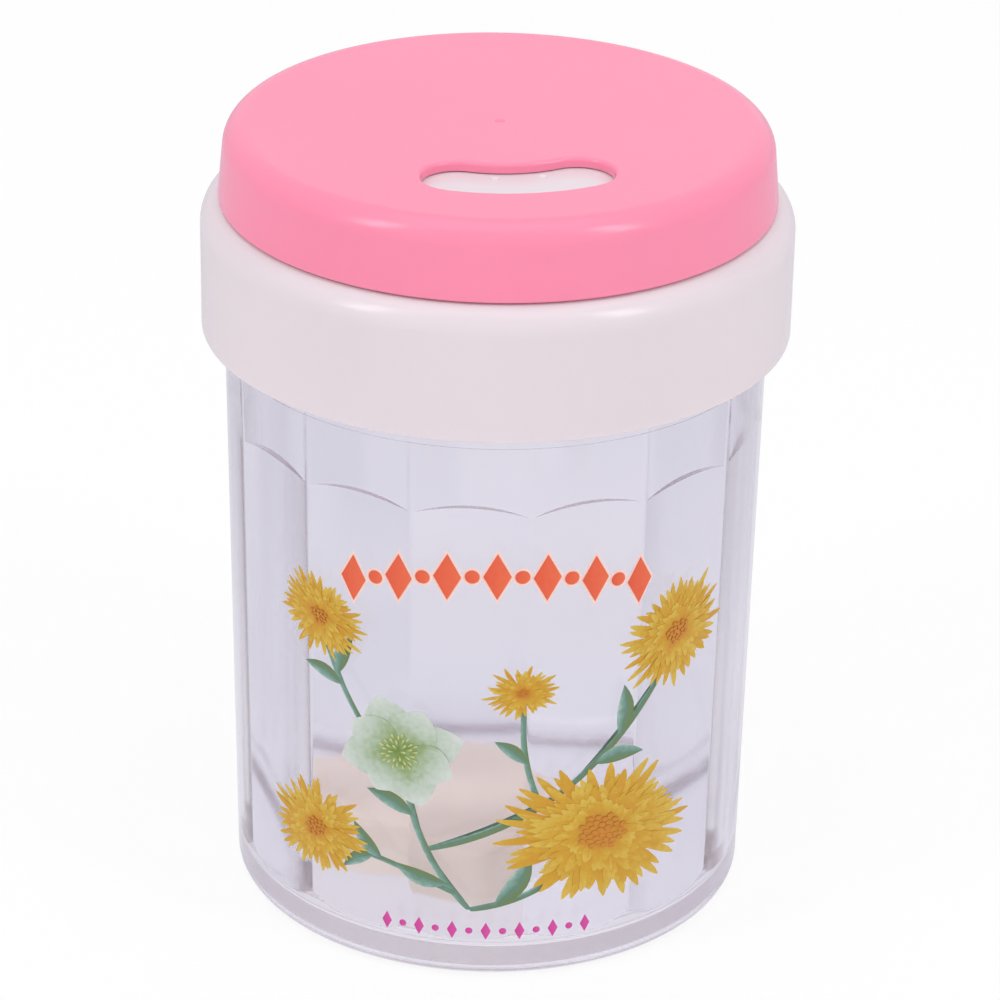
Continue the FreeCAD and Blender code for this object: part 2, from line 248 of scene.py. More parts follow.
def cream_foam():
    graph = Graph(bpy.data.materials.new("cream_foam"))
    cells = graph.noise(1400, 2.0)
    patches = graph.noise(110, 3.0)
    colour = graph.mix(patches, swatch(240, 228, 210), swatch(246, 234, 218))
    return graph.finish(graph.plastic(
        Base_Color=colour, Roughness=0.7 + 0.15 * cells,
        Normal=graph.bump(cells, 0.00012, 0.6), Subsurface_Weight=0.1,
        Subsurface_Radius=(0.002, 0.0015, 0.001), Subsurface_Scale=1.0))


CLEAR, CREAM = clear_plastic(), cream_foam()
print("clear and cream:", CLEAR.name, CREAM.name)

# %% [markdown]
# ## Turning a profile
#
# The jar, the lid and the cap are round, so each starts as half of its section: straight
# lines from the axis out and back again. A corner is rounded while the section is still a
# line, which is easier than rounding a ring later, and then the line is spun into a closed
# shell. The steps of the spin are a multiple of the jar's fourteen flats.

# %% Spin a section about the axis
FLATS = 14
SPIN_STEPS, ARC_STEPS = 18 * FLATS, 14
WELD_GAP = 0.001


def section(points):
    """A line in the XZ plane through (radius, height) points in millimetres. A third
    number rounds the corner."""
    mesh = bmesh.new()
    corners = [mesh.verts.new((point[0] * MM, 0, point[1] * MM)) for point in points]
    for start, end in zip(corners, corners[1:]):
        mesh.edges.new((start, end))
    for corner, point in zip(corners, points):
        if len(point) == 3:
            bmesh.ops.bevel(mesh, geom=[corner], offset=point[2] * MM, affect="VERTICES",
                            segments=ARC_STEPS, profile=0.5, material=-1)
    return mesh


def spin(mesh):
    """Spin all of a section through a full turn and weld it."""
    bmesh.ops.spin(mesh, geom=mesh.verts[:] + mesh.edges[:], cent=(0, 0, 0), axis=UP,
                   angle=2 * math.pi, steps=SPIN_STEPS, use_merge=True)
    bmesh.ops.remove_doubles(mesh, verts=mesh.verts[:], dist=WELD_GAP * MM)
    bmesh.ops.recalc_face_normals(mesh, faces=mesh.faces[:])
    return mesh


print("each step of a spin turns by", round(360 / SPIN_STEPS, 2), "degrees")

# %% [markdown]
# ## From a mesh to a piece
#
# A mesh becomes an object with a finish. Its faces are shaded smooth but its sharp edges
# stay crisp, tools are cut out of it or welded on, and at the end it takes its place on
# the body that carries it.


# %% Make, cut and seat a piece
CRISP = 30.0


def add(name, data):
    """Put an object with some data into the scene."""
    made = bpy.data.objects.new(name, data)
    bpy.context.scene.collection.objects.link(made)
    return made


def shade(piece, sharp=CRISP):
    """Smooth a piece, but for its edges above an angle in degrees."""
    piece.data.shade_smooth()
    piece.data.set_sharp_from_angle(angle=math.radians(sharp))


def as_object(mesh, name, material, sharp=CRISP):
    """Turn a bmesh into a shaded object with a finish."""
    data = bpy.data.meshes.new(name)
    mesh.to_mesh(data)
    mesh.free()
    made = add(name, data)
    shade(made, sharp)
    data.materials.append(material)
    return made


def combine(piece, tool, operation):
    """Cut a closed tool out of a piece, or weld it on, for good."""
    step = piece.modifiers.new("combine", "BOOLEAN")
    step.operation, step.solver, step.object = operation, "EXACT", tool
    seen = piece.evaluated_get(bpy.context.evaluated_depsgraph_get())
    result = bpy.data.meshes.new_from_object(seen)
    piece.modifiers.clear()
    old, piece.data = piece.data, result
    bpy.data.meshes.remove(old)
    bpy.data.objects.remove(tool)
    result.name = piece.name
    shade(piece)


def even_normals(piece):
    """Keep wide faces flat where they run into a small round."""
    piece.modifiers.new("even_normals", "WEIGHTED_NORMAL").keep_sharp = True


def seat(piece, body, node):
    """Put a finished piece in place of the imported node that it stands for."""
    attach(piece, body)
    if node:
        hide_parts(node)
    print(piece.name, "has", len(piece.data.polygons), "faces and rides on", body)
    return piece


# %% [markdown]
# ## The jar
#
# The wall leans out a little towards the neck, so that the moulding leaves its tool. Its
# foot is a narrow ring round a raised floor with the gate's nub in the middle, the cavity
# ends in a wide fillet, and the neck has a bead that the lid snaps over.

# %% Turn the jar's wall
RIM = jar_high.z / MM
FOOT_R, DRAFT, WALL = 29.57, math.radians(0.77), 1.6
FLOOR_UNDER, FLOOR_TOP, FOOT_RING = 0.5, 2.0, 3.0
STEP_Z = RIM - 15.2
GATE_R, GATE_H = 1.2, 0.3
BEAD, BEAD_W, BEAD_Z = 0.4, 1.6, RIM - 3.9
GATE_ROUND, RING_ROUND, FOOT_ROUND, RIM_ROUND, FLOOR_ROUND = 0.15, 0.2, 1.6, 0.5, 4.5


def wall_r(height):
    """Outer radius of the jar's wall, in millimetres."""
    return FOOT_R + height * math.tan(DRAFT)


NECK_R = wall_r(STEP_Z) - 0.1


def ridge(radius, height, width, rise):
    """Four corners of a bead, going up."""
    return [(radius, height - width / 2), (radius + rise, height - width / 4),
            (radius + rise, height + width / 4), (radius, height + width / 2)]


jar_points = [
    (0, FLOOR_UNDER - GATE_H), (GATE_R, FLOOR_UNDER - GATE_H, GATE_ROUND),
    (GATE_R, FLOOR_UNDER), (FOOT_R - FOOT_RING, FLOOR_UNDER, RING_ROUND),
    (FOOT_R - FOOT_RING, 0, RING_ROUND), (FOOT_R, 0, FOOT_ROUND),
    (wall_r(STEP_Z), STEP_Z), (NECK_R, STEP_Z), *ridge(NECK_R, BEAD_Z, BEAD_W, BEAD),
    (NECK_R, RIM, RIM_ROUND), (wall_r(RIM) - WALL, RIM, RIM_ROUND),
    (wall_r(FLOOR_TOP) - WALL, FLOOR_TOP, FLOOR_ROUND), (0, FLOOR_TOP),
]
jar = as_object(spin(section(jar_points)), "clear_jar", CLEAR)
print("jar's neck in mm:", round(NECK_R, 2))

# %% [markdown]
# ## The flats
#
# Outside, the wall is a smooth cone. Inside, fourteen flats run up it and end in low
# arches. Each is a plane that leans with the wall, so one arched panel is drawn, thickened
# outwards into the wall and repeated round the axis, and the fourteen together are welded
# on in one step. The ledge over each flat is what shows as a fine arc.

# %% Weld on fourteen arched flats
FLAT_DEPTH, FLAT_FOOT = 0.66, FLOOR_TOP / 2
ARCH_TOP, ARCH_RISE, ARCH_STEPS = STEP_Z - 7.6, 1.1, 24
CAVITY_R = FOOT_R - WALL
HALF_CHORD = math.sqrt(FLAT_DEPTH * (2 * CAVITY_R - FLAT_DEPTH))
ARCH_R = (HALF_CHORD ** 2 + ARCH_RISE ** 2) / (2 * ARCH_RISE)
PANEL_HALF, PANEL_THICKNESS = HALF_CHORD + FLAT_DEPTH / 4, FLAT_DEPTH + WALL / 4


def verts_in(grown):
    """The points among the parts that an extrusion added."""
    return [item for item in grown["geom"] if isinstance(item, bmesh.types.BMVert)]


def turn_all(mesh, angle, axis):
    bmesh.ops.rotate(mesh, cent=(0, 0, 0), matrix=Matrix.Rotation(angle, 3, axis),
                     verts=mesh.verts[:])


def flat_panels():
    """Fourteen arched panels whose inner faces are the flats."""
    mesh = bmesh.new()
    outline = [(-PANEL_HALF, FLAT_FOOT), (PANEL_HALF, FLAT_FOOT)]
    lean = math.asin(PANEL_HALF / ARCH_R)
    for step in range(ARCH_STEPS + 1):
        turn = lean - 2 * lean * step / ARCH_STEPS
        outline.append((ARCH_R * math.sin(turn), ARCH_TOP - ARCH_R + ARCH_R * math.cos(turn)))
    face = mesh.faces.new([mesh.verts.new((x * MM, 0, z * MM)) for x, z in outline])
    grown = bmesh.ops.extrude_face_region(mesh, geom=[face])
    bmesh.ops.translate(mesh, vec=(0, -PANEL_THICKNESS * MM, 0), verts=verts_in(grown))
    turn_all(mesh, DRAFT, "X")
    bmesh.ops.translate(mesh, vec=(0, -(CAVITY_R - FLAT_DEPTH) * MM, 0), verts=mesh.verts[:])
    bmesh.ops.spin(mesh, geom=mesh.verts[:] + mesh.edges[:] + mesh.faces[:],
                   cent=(0, 0, 0), axis=UP, angle=2 * math.pi * (FLATS - 1) / FLATS,
                   steps=FLATS - 1, use_duplicate=True)
    bmesh.ops.recalc_face_normals(mesh, faces=mesh.faces[:])
    return as_object(mesh, "flat_panels", CLEAR)


combine(jar, flat_panels(), "UNION")
even_normals(jar)
seat(jar, "jar", "jar")

# %% [markdown]
# ## The lid
#
# One white moulding makes the collar, the shoulder that rests on the jar's rim, and a
# drum under the cap whose top is the deck.

# %% Turn the lid
COLLAR_R, LIP_Z, DECK_TOP = lid_high.x / MM, lid_low.z / MM, lid_high.z / MM
SHOULDER_Z = RIM + 1.8
SKIRT_R, DRUM_R, DRUM_WALL = COLLAR_R - 1.8, NECK_R - 1.0, 1.5
SKIRT_BEAD_Z = BEAD_Z - 2.1
GROOVE_Z, GROOVE_W, GROOVE_D = SHOULDER_Z + 2.4, 1.8, 0.5
INNER_EDGE, OUTER_EDGE = 0.15, 0.25
CORNER_ROUND, SHOULDER_ROUND, DRUM_ROOT, DECK_ROUND = 0.5, 3.0, 0.2, 1.8

lid_points = [
    (0, DECK_TOP - DRUM_WALL), (DRUM_R - DRUM_WALL, DECK_TOP - DRUM_WALL, CORNER_ROUND),
    (DRUM_R - DRUM_WALL, RIM), (SKIRT_R, RIM),
    *ridge(SKIRT_R, SKIRT_BEAD_Z, BEAD_W, -BEAD)[::-1], (SKIRT_R, LIP_Z, INNER_EDGE),
    (COLLAR_R, LIP_Z, OUTER_EDGE), (COLLAR_R, SHOULDER_Z, SHOULDER_ROUND),
    (DRUM_R, SHOULDER_Z, DRUM_ROOT), *ridge(DRUM_R, GROOVE_Z, GROOVE_W, -GROOVE_D),
    (DRUM_R, DECK_TOP, DECK_ROUND), (0, DECK_TOP),
]
lid = as_object(spin(section(lid_points)), "white_lid", WHITE)
print("lid's drum in mm:", round(DRUM_R, 2))

# %% [markdown]
# ## The kidney slots
#
# A slot is an arc with round ends, and the deck and the cap have the same one. The deck's
# is at the back. The cutter is a stack of such outlines joined by bridges. Where the stack
# flares, the slot gets a rounded lip.

# %% Draw a kidney and stack it into a cutter
SLOT_R, SLOT_HALF, SLOT_SPAN = DRUM_R - 12.47, 4.0, math.radians(22.6)
LONG_STEPS, END_STEPS, LIP_STEPS = 24, 14, 8
OVERCUT, DECK_CUT = 1.0, 4.0


def kidney_ring(mesh, grow, height):
    """One outline about -Y, grown outwards by some millimetres."""
    points = []

    def arc(centre, radius, start, stop, steps):
        for step in range(steps):
            turn = start + (stop - start) * step / steps
            points.append(centre + radius * Vector((math.cos(turn), math.sin(turn), 0)))

    first, last = -math.pi / 2 - SLOT_SPAN, -math.pi / 2 + SLOT_SPAN
    ends = [SLOT_R * Vector((math.cos(turn), math.sin(turn), 0)) for turn in (first, last)]
    half = SLOT_HALF + grow
    arc(Vector(), SLOT_R + half, first, last, LONG_STEPS)
    arc(ends[1], half, last, last + math.pi, END_STEPS)
    arc(Vector(), SLOT_R - half, last, first, LONG_STEPS)
    arc(ends[0], half, first + math.pi, first + 2 * math.pi, END_STEPS)
    ring = [mesh.verts.new((point + height * UP) * MM) for point in points]
    return [mesh.edges.new(pair) for pair in zip(ring, ring[1:] + ring[:1])]


def kidney_cutter(levels, turn):
    """A closed cutter through (growth, height) levels, turned about the axis."""
    mesh = bmesh.new()
    rings = [kidney_ring(mesh, grow, height) for grow, height in levels]
    for lower, upper in zip(rings, rings[1:]):
        bmesh.ops.bridge_loops(mesh, edges=lower + upper)
    bmesh.ops.edgeloop_fill(mesh, edges=rings[0])
    bmesh.ops.edgeloop_fill(mesh, edges=rings[-1])
    turn_all(mesh, turn, "Z")
    bmesh.ops.recalc_face_normals(mesh, faces=mesh.faces[:])
    return as_object(mesh, "kidney_cutter", WHITE)


def lip_levels(foot, top, radius):
    """Levels of a cutter that leaves a lip of some radius at the top."""
    levels = [(0, foot)]
    for step in range(LIP_STEPS + 1):
        turn = math.pi / 2 * step / LIP_STEPS
        levels.append((radius * (1 - math.cos(turn)), top - radius + radius * math.sin(turn)))
    return levels + [(radius, top + OVERCUT)]


deck_levels = [(0, DECK_TOP - DECK_CUT), (0, DECK_TOP + OVERCUT)]
combine(lid, kidney_cutter(deck_levels, math.pi), "DIFFERENCE")
print("slot in mm:", round(2 * (SLOT_R * math.sin(SLOT_SPAN) + SLOT_HALF), 2), "wide")

# %% [markdown]
# Ejector pins leave shallow round dimples with sloping sides. A short cone that is sunk
# halfway into the surface carves each of them.

# %% Press the ejector marks
MARK_R, MARK_DEPTH, MARK_SLOPE, MARK_STEPS = 0.6, 0.25, 0.6, 24
MARK_RING, MARK_TURNS = 14.0, (math.radians(2.9), math.radians(24.4))


def mark_cutter(places, surface):
    """Cones that meet a surface where they are as wide as a mark."""
    mesh = bmesh.new()
    for x, y in places:
        middle = Matrix.Translation(Vector((x, y, surface)) * MM)
        bmesh.ops.create_cone(mesh, cap_ends=True, segments=MARK_STEPS,
                              radius1=(1 - MARK_SLOPE) * MARK_R * MM,
                              radius2=(1 + MARK_SLOPE) * MARK_R * MM,
                              depth=2 * MARK_DEPTH * MM, matrix=middle)
    return as_object(mesh, "mark_cutter", WHITE)


marks = [(MARK_RING * math.sin(turn), -MARK_RING * math.cos(turn)) for turn in MARK_TURNS]
combine(lid, mark_cutter(marks, DECK_TOP), "DIFFERENCE")
even_normals(lid)
seat(lid, "lid", "lid")

# %% [markdown]
# ## The cap
#
# The cap is a shallow pink cup that turns on the drum. Its top edge is well rounded, its
# wall leans in towards the top, and a bead inside runs in the drum's groove. Its slot has
# a soft lip, and a gate mark sits at the middle of the top.

# %% Turn the cap and cut its slot
CAP_R, CAP_FOOT, CAP_TOP = cap_high.x / MM, cap_low.z / MM, cap_high.z / MM
GAP = CAP_FOOT - SHOULDER_Z
CAP_INNER, CAP_CEILING = DRUM_R + GAP, DECK_TOP + GAP
CAP_LEAN, CAP_TURN = math.radians(5.4), math.radians(12.3)
CAP_TOP_R = CAP_R - (CAP_TOP - CAP_FOOT) * math.tan(CAP_LEAN)
CEILING_ROUND, CAP_ROUND, CAP_LIP = 1.5, 2.5, 0.5
CAP_BEAD_W = 1.0

cap_points = [
    (0, CAP_CEILING), (CAP_INNER, CAP_CEILING, CEILING_ROUND),
    *ridge(CAP_INNER, GROOVE_Z, CAP_BEAD_W, -GROOVE_D)[::-1],
    (CAP_INNER, CAP_FOOT, INNER_EDGE), (CAP_R, CAP_FOOT, OUTER_EDGE),
    (CAP_TOP_R, CAP_TOP, CAP_ROUND), (0, CAP_TOP),
]
cap = as_object(spin(section(cap_points)), "pink_cap", PINK)
cap_levels = lip_levels(CAP_CEILING - OVERCUT, CAP_TOP, CAP_LIP)
combine(cap, kidney_cutter(cap_levels, CAP_TURN), "DIFFERENCE")
combine(cap, mark_cutter([(0, 0)], CAP_TOP), "DIFFERENCE")
even_normals(cap)
seat(cap, "cap", "cap")

# %% [markdown]
# ## The loose block
#
# A cream block lies loose on the floor. A cube is scaled to its size, its upright edges
# are rounded, then its upper edges, and it is turned to the place where it lies. A film of
# air is left under it: without one, light that runs along inside the clear floor would
# meet the block's dark underside and not be turned back.

# %% Shape the block
BLOCK_H, BLOCK_W, BLOCK_TURN = (block_high.z - block_low.z) / MM, 22.9, math.radians(24.8)
UPRIGHT_R, UPPER_R, UPRIGHT_STEPS, UPPER_STEPS = 2.0, 0.8, 10, 6
BLOCK_MIDDLE, BLOCK_RIGHT, CORNER_GAP = -4.1, 8.1, 0.6
AIR_FILM = 0.05
BLOCK_NEAR = BLOCK_MIDDLE - BLOCK_W / 2
FLOOR_REACH = CAVITY_R + FLOOR_TOP * math.tan(DRAFT) - FLOOR_ROUND - CORNER_GAP
BLOCK_LEFT = -math.sqrt(FLOOR_REACH ** 2 - BLOCK_NEAR ** 2)


def round_edges(mesh, edges, radius, steps):
    bmesh.ops.bevel(mesh, geom=edges, offset=radius * MM, affect="EDGES", segments=steps,
                    profile=0.5, material=-1)


def make_block():
    mesh = bmesh.new()
    bmesh.ops.create_cube(mesh, size=MM)
    size = Vector((BLOCK_RIGHT - BLOCK_LEFT, BLOCK_W, BLOCK_H))
    bmesh.ops.scale(mesh, vec=size, verts=mesh.verts[:])
    upright = [edge for edge in mesh.edges
               if abs(edge.verts[0].co.z - edge.verts[1].co.z) > BLOCK_H * MM / 2]
    round_edges(mesh, upright, UPRIGHT_R, UPRIGHT_STEPS)
    upper = [edge for edge in mesh.edges
             if all(vert.co.z > 0.49 * BLOCK_H * MM for vert in edge.verts)]
    round_edges(mesh, upper, UPPER_R, UPPER_STEPS)
    near_left = Vector((BLOCK_LEFT, BLOCK_NEAR, FLOOR_TOP + AIR_FILM))
    bmesh.ops.translate(mesh, vec=(near_left + size / 2) * MM, verts=mesh.verts[:])
    turn_all(mesh, -BLOCK_TURN, "Z")
    return as_object(mesh, "cream_block", CREAM)


block = make_block()
even_normals(block)
seat(block, "jar", "loose_block")

# %% [markdown]
# ## The printed flowers
#
# The front of the jar is printed with flowers. The print is drawn flat first, in
# millimetres: u runs along the wall from the middle of the front, and v runs up it. Every
# petal, leaf and bead starts as a disc that is pushed into shape, and each lies a hair
# above the one before. A number from about 0 to 1 goes with each point, and the ink's
# colour follows it.

# %% Draw petals, leaves and beads
FILM, LAYER, STACK = 0.02, 0.001, 0.04
TIP = 0.000001


class Drawing:
    """A flat drawing in one ink, which lies some millimetres in front of the wall."""

    def __init__(self, level, layer=LAYER):
        self.mesh = bmesh.new()
        self.tone = self.mesh.verts.layers.float.new("tone")
        self.level, self.layer, self.shift = level, layer, 0.0

    def disc(self, place, sides=18, across=False):
        """A disc 2 mm wide, put in its place. Its tone grows along it, or across it."""
        made = bmesh.ops.create_circle(self.mesh, cap_ends=True, cap_tris=True,
                                       segments=sides, radius=1)["verts"]
        for vert in made:
            vert[self.tone] = 0.5 + (vert.co.y if across else vert.co.x) / 2 + self.shift
            vert.co.z = self.level
        bmesh.ops.transform(self.mesh, matrix=place, verts=made)
        self.level += self.layer
        return made

    def blade(self, place, length, width, point=1.0, skew=0.0, bow=0.0, sides=18,
              across=False):
        """A petal or a leaf along u: pointed, widest off its middle, and bowed."""
        made = self.disc(Matrix(), sides, across)
        for vert in made:
            x, y = vert.co.x, vert.co.y
            narrow = max(1 - x * x, TIP) ** (point / 2) * (1 + skew * x)
            vert.co.x = length * (x + 1) / 2
            vert.co.y = width / 2 * y * narrow + bow * (1 - x * x)
        bmesh.ops.transform(self.mesh, matrix=place, verts=made)


def spot(u, v, turn=0.0, wide=1.0, high=1.0):
    """Where a shape goes on the drawing, how far it is turned, and its scale."""
    return (Matrix.Translation((u, v, 0)) @ Matrix.Rotation(turn, 4, "Z")
            @ Matrix.Diagonal((wide, high, 1, 1)))


# %% [markdown]
# Once drawn, an ink is cut along upright lines so that it can bend, given a film's
# thickness, and rolled onto the cone.


# %% Roll a drawing onto the jar
BEND_PITCH, PRINT_EDGE, FILM_SHARP = 1.5, 36.0, 60.0


def roll_on(drawing, name, material):
    mesh = drawing.mesh
    for step in range(int(2 * PRINT_EDGE / BEND_PITCH) + 1):
        bmesh.ops.bisect_plane(mesh, geom=mesh.verts[:] + mesh.edges[:] + mesh.faces[:],
                               plane_co=(step * BEND_PITCH - PRINT_EDGE, 0, 0),
                               plane_no=(1, 0, 0))
    grown = bmesh.ops.extrude_face_region(mesh, geom=mesh.faces[:], use_keep_orig=True)
    bmesh.ops.translate(mesh, vec=(0, 0, FILM), verts=verts_in(grown))
    bmesh.ops.recalc_face_normals(mesh, faces=mesh.faces[:])
    for vert in mesh.verts:
        turn, height, out = vert.co.x / FOOT_R, vert.co.y, wall_r(vert.co.y) + vert.co.z
        vert.co = Vector((out * math.sin(turn), -out * math.cos(turn), height)) * MM
    return seat(as_object(mesh, name, material, FILM_SHARP), "jar", None)


# %% [markdown]
# An ink is a ramp of colours along the tone that each point carries, with fine flecks.

# %% Mix the inks
FLECK_SCALE, FLECK_SHARE, INK_ROUGHNESS, INK_IOR = 1600, 0.5, 0.45, 1.45


def ink(name, *stops):
    graph = Graph(bpy.data.materials.new(name))
    tone = graph.node("ShaderNodeAttribute", output="Fac", attribute_name="tone")
    flecks = graph.noise(FLECK_SCALE, 3.0) - 0.5
    colour = graph.ramp(tone + FLECK_SHARE * flecks,
                        *[(place, swatch(*colour)) for place, colour in stops])
    return graph.finish(graph.plastic(Base_Color=colour, Roughness=INK_ROUGHNESS,
                                      IOR=INK_IOR))


YELLOW = ink("yellow_ink", (0.0, (204, 126, 38)), (0.3, (204, 140, 38)),
             (0.7, (205, 157, 36)), (1.0, (214, 180, 72)))
HEART = ink("heart_ink", (0.0, (208, 138, 44)), (1.0, (198, 122, 36)))
GREEN = ink("green_ink", (0.0, (110, 128, 70)), (0.45, (98, 134, 114)),
            (0.8, (122, 158, 148)), (1.0, (168, 192, 182)))
PALE = ink("pale_ink", (0.0, (112, 142, 62)), (0.3, (150, 172, 126)),
           (0.62, (186, 200, 184)), (1.0, (210, 216, 211)))
STAMEN = ink("stamen_ink", (0.0, (150, 166, 74)), (1.0, (214, 214, 142)))
ORANGE = ink("orange_ink", (0.0, (226, 86, 54)), (1.0, (238, 108, 70)))
HALO = ink("halo_ink", (0.0, (246, 208, 200)), (1.0, (250, 218, 210)))
MAGENTA = ink("magenta_ink", (0.0, (202, 58, 146)), (1.0, (218, 78, 166)))
print("inks:", [kept.name for kept in bpy.data.materials if kept.name.endswith("_ink")])

# %% [markdown]
# A daisy has four rings of narrow petals that differ a little in length, turn and tone.
# Its heart is a spiral of seeds, each turned from the last by the golden angle. Seen from
# the side a little, the flower is flatter than it is wide.

# %% Draw the daisies
chance = random.Random(5)
GOLDEN_ANGLE = math.pi * (3 - math.sqrt(5))
PETALS_AT, SEEDS_AT = 0.10, 0.32
petals, seeds = Drawing(PETALS_AT), Drawing(SEEDS_AT)
DAISIES = [  # u, v, size, petals in a ring, tilt in degrees, flattening
    (15.5, 18.0, 12.0, 44, -12, 0.74), (24.5, 41.0, 7.8, 36, 24, 0.84),
    (-17.5, 43.0, 6.4, 32, -18, 0.80), (-18.5, 15.5, 7.6, 34, 12, 0.78),
    (6.0, 37.0, 4.4, 26, 8, 0.76),
]
RINGS = [(1.0, 0.0), (0.84, 0.5), (0.66, 0.2), (0.46, 0.7)]  # reach and offset of each ring
PETAL_W, PETAL_BOW = 0.12, 0.04  # shares of the flower's size, as are the seeds' two
SEEDS_PER_MM, SEED_STEP, SEED_R = 3, 0.042, 0.034
TURN_JITTER, PETAL_LENGTHS, PETAL_TONES = 0.4, (0.8, 1.08), (-0.22, 0.14)


def daisy(u, v, size, count, tilt, flat):
    face = spot(u, v, math.radians(tilt), 1.0, flat)
    petals.level, seeds.level = PETALS_AT, SEEDS_AT
    for reach, offset in RINGS:
        for index in range(count):
            place = index + offset + chance.uniform(-TURN_JITTER, TURN_JITTER)
            length = size * reach * chance.uniform(*PETAL_LENGTHS)
            petals.shift = chance.uniform(*PETAL_TONES)
            bow = chance.uniform(-PETAL_BOW, PETAL_BOW) * size
            petals.blade(face @ spot(0, 0, 2 * math.pi * place / count), length,
                         PETAL_W * size, point=0.35, skew=0.3, bow=bow, sides=14)
    for index in range(int(SEEDS_PER_MM * size)):
        seed = spot(SEED_STEP * size * math.sqrt(index), 0, 0, SEED_R * size, SEED_R * size)
        seeds.disc(face @ spot(0, 0, index * GOLDEN_ANGLE) @ seed, 8)


for flower in DAISIES:
    daisy(*flower)
roll_on(petals, "yellow_petals", YELLOW)
roll_on(seeds, "flower_seeds", HEART)

# %% [markdown]
# The pale blossom has two rings of four pointed petals and a tuft of stamens. Its petals
# are wide, so they lie further apart, or their facets would cut through each other.

# %% Draw the pale blossom
BLOSSOM_AT, BLOSSOM_LAYER, STAMENS_AT = 0.08, 0.012, 0.2
blossom, stamens = Drawing(BLOSSOM_AT, BLOSSOM_LAYER), Drawing(STAMENS_AT)
BLOSSOM, BLOSSOM_SIZE, BLOSSOM_TURN, BLOSSOM_FLAT = (-7.5, 28.5), 7.6, 20, 0.92
BLOSSOM_RINGS, BLOSSOM_PETALS, BLOSSOM_WIDTH = (1.0, 0.86), 4, 0.78
STAMENS, STAMEN_STEP, STAMEN_LENGTH, STAMEN_WIDTH = 34, 0.3, 0.75, 0.22

for ring, reach in enumerate(BLOSSOM_RINGS):
    for index in range(BLOSSOM_PETALS):
        turn = math.radians(BLOSSOM_TURN + (index + ring / 2) * 360 / BLOSSOM_PETALS)
        blossom.blade(spot(*BLOSSOM, 0.0, 1.0, BLOSSOM_FLAT) @ spot(0, 0, turn),
                      BLOSSOM_SIZE * reach, BLOSSOM_WIDTH * BLOSSOM_SIZE, point=0.8,
                      skew=-0.05, sides=28)
for index in range(STAMENS):
    turn, out = index * GOLDEN_ANGLE, STAMEN_STEP * math.sqrt(index)
    place = spot(BLOSSOM[0] + out * math.cos(turn), BLOSSOM[1] + out * math.sin(turn), turn)
    stamens.blade(place, STAMEN_LENGTH, STAMEN_WIDTH, point=0.3, skew=0.4)
roll_on(blossom, "pale_blossom", PALE)
roll_on(stamens, "blossom_stamens", STAMEN)

# %% [markdown]
# Stems branch from one low point or from each other, and each is a long thin blade with a
# bow. A leaf is put on a stem by how far along it grows and which way it turns off.

# %% Draw the stems and leaves
leaves = Drawing(STACK)
STEM_ROOT = Vector((0.5, 9.0))
STEMS = [  # stem that it grows from, share of that one's length, to u, v, bow, width
    (None, 0.0, -6.8, 25.0, 1.4, 0.8), (None, 0.0, 13.0, 15.0, -1.0, 0.8),
    (0, 0.5, 23.0, 37.0, -3.0, 0.8), (0, 1.0, -17.0, 41.0, 1.2, 0.7),
    (0, 0.14, -17.0, 14.5, -1.2, 0.7), (2, 0.4, 6.2, 35.0, 0.8, 0.7),
]
LEAVES = [  # stem, share of its length, degrees off it, length, width, bow
    (0, 0.22, 38, 6.4, 2.0, 0.5), (1, 0.20, 42, 7.6, 2.3, -0.7),
    (2, 0.74, 40, 6.4, 2.1, -0.5), (2, 0.62, -40, 6.2, 2.0, 0.6),
    (3, 0.74, -46, 5.6, 1.9, 0.4), (3, 0.67, 48, 5.4, 1.8, -0.4),
    (4, 0.55, -38, 5.4, 1.8, 0.4), (4, 0.62, 42, 4.6, 1.6, -0.4),
    (5, 0.45, 40, 4.6, 1.6, -0.3), (0, 0.75, 52, 6.0, 2.0, -0.4),
]
runs = []


def along(stem, share):
    """A point on a drawn stem, and which way the stem runs there."""
    start, run, bow = runs[stem]
    middle = 2 * share - 1
    side = Vector((-run.y, run.x)).normalized() * bow
    lean = run - 4 * middle * side
    return start + share * run + (1 - middle ** 2) * side, math.atan2(lean.y, lean.x)


for parent, share, to_u, to_v, bow, width in STEMS:
    start = STEM_ROOT if parent is None else along(parent, share)[0]
    run = Vector((to_u, to_v)) - start
    runs.append((start, run, bow))
    leaves.blade(spot(*start, math.atan2(run.y, run.x)), run.length, width, point=-0.8,
                 bow=bow, sides=48, across=True)
for stem, share, turn, length, width, bow in LEAVES:
    place, heading = along(stem, share)
    leaves.blade(spot(*place, heading + math.radians(turn)), length, width, skew=-0.15,
                 bow=bow, sides=24, across=True)
roll_on(leaves, "green_leaves", GREEN)

# %% [markdown]
# An arched row of lozenges and beads stands above the flowers, and a row of small ones
# below them.

# %% Draw the rows of beads
BEAD_LIFT = 0.05
halos, beads, dots = Drawing(STACK), Drawing(STACK + BEAD_LIFT), Drawing(STACK)
ROW_FROM, ROW_TO, ROW_FOOT, ROW_RISE, ROW_COUNT = -13.0, 19.0, 49.0, 2.4, 13
DOTS_FROM, DOT_PITCH, DOTS_HEIGHT, DOT_COUNT = -9.0, 1.9, 6.2, 13
ROW_SHAPES = [(1.5, 2.8, 4), (0.8, 0.8, 18)]  # half width, half height, sides
DOT_SHAPES = [(0.58, 1.15, 4), (0.42, 0.42, 14)]
HALO_RIM = 0.28

